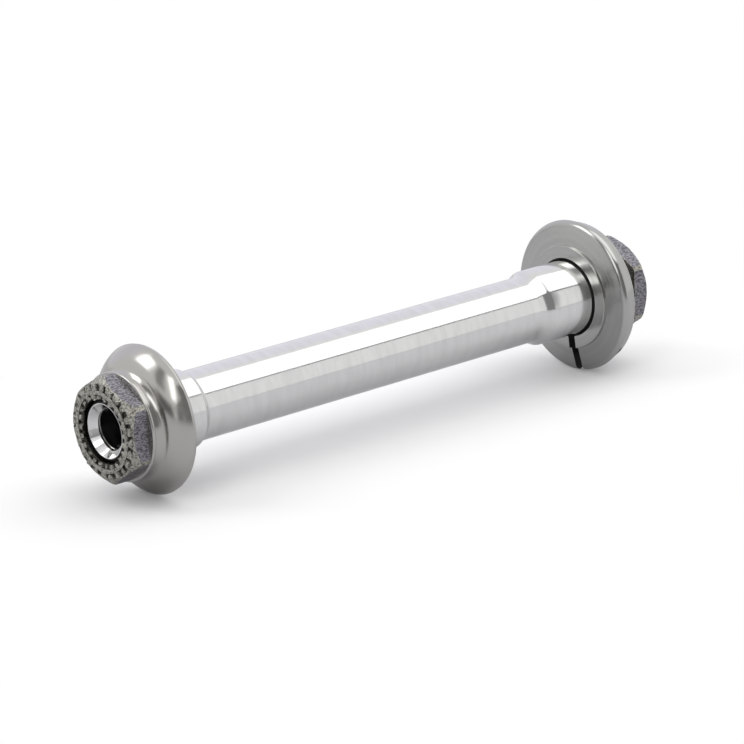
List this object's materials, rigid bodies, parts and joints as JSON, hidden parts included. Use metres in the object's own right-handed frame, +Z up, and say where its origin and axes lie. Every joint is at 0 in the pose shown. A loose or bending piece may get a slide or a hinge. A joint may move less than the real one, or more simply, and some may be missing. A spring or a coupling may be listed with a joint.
{
  "type": "rear hub axle",
  "caption": "Hollow rear hub axle with two bearing journals, a bell-shaped end cap, a split adjusting collar with a pinch screw, and serrated locknuts.",
  "frame": {"origin": "on the axle's own axis, midway between the outer faces of the two locknuts", "axes": "+X along the axle towards the adjusting collar, +Z up, -X end carries the bell-shaped cap"},
  "size_m": [0.13, 0.0304, 0.0304],
  "materials": {
    "turned_aluminium": "fine turned, bright",
    "polished_steel": "satin polished stainless steel",
    "nut_steel": "satin, etched flats",
    "collar_steel": "fine turned stainless steel",
    "black_steel": "black oxide"
  },
  "bodies": {
    "axle": {"axle_shaft": "turned_aluminium", "drive_side_cap": "polished_steel", "drive_side_locknut": "nut_steel", "collar_side_locknut": "nut_steel"},
    "collar": {"adjusting_collar": "collar_steel"},
    "clamp_screw": {"pinch_screw": "black_steel"}
  },
  "joints": [
    {"name": "collar_turn", "type": "hinge", "parent": "axle", "child": "collar", "pos_m": [0.0552, 0, 0], "axis": [1, 0, 0], "range_deg": [-288, 576]},
    {"name": "pinch_screw_turn", "type": "hinge", "parent": "collar", "child": "clamp_screw", "pos_m": [0.0544, -0.00159, -0.01129], "axis": [0, 0.9903, -0.1392], "range_deg": [0, 720]}
  ]
}
